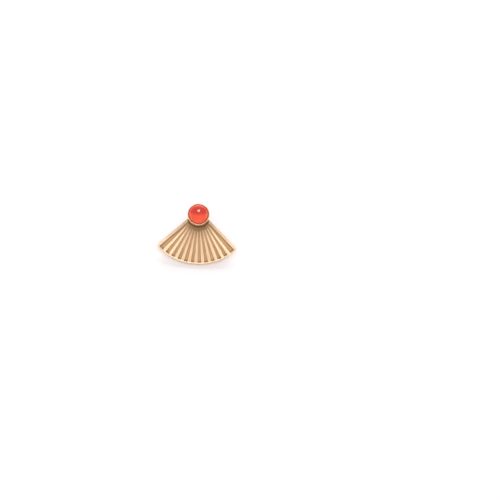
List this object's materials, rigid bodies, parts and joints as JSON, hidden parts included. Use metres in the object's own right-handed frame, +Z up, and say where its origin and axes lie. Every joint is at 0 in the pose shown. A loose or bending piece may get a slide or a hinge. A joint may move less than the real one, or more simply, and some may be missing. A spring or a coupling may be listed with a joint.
{
  "type": "ear jacket",
  "caption": "Ear jacket: a round stone stud with its post through the hole of a ribbed fan, and a rolled nut behind.",
  "frame": {"origin": "centre of the bounding box's bottom, on the surface that the jewel lies on", "axes": "+Z up; +X across the fan; the fan's curved edge points to -Y and its hole is raised; the post runs from the hole down and back to +Y"},
  "size_m": [0.0246, 0.0186, 0.0125],
  "materials": {
    "fan": "satin gold plate, darker in the panel",
    "setting": "polished gold plate",
    "stone": "polished translucent carnelian",
    "nut": "satin gold plate"
  },
  "bodies": {
    "stud": {"stud_setting": "setting", "cabochon": "stone", "ear_nut": "nut"},
    "jacket": {"fan_jacket": "fan"}
  },
  "joints": [
    {"name": "jacket_swivel", "type": "hinge", "parent": "stud", "child": "jacket", "pos_m": [0, 0.00471, 0.00763], "axis": [0, -0.4956, 0.8685], "continuous": true}
  ]
}
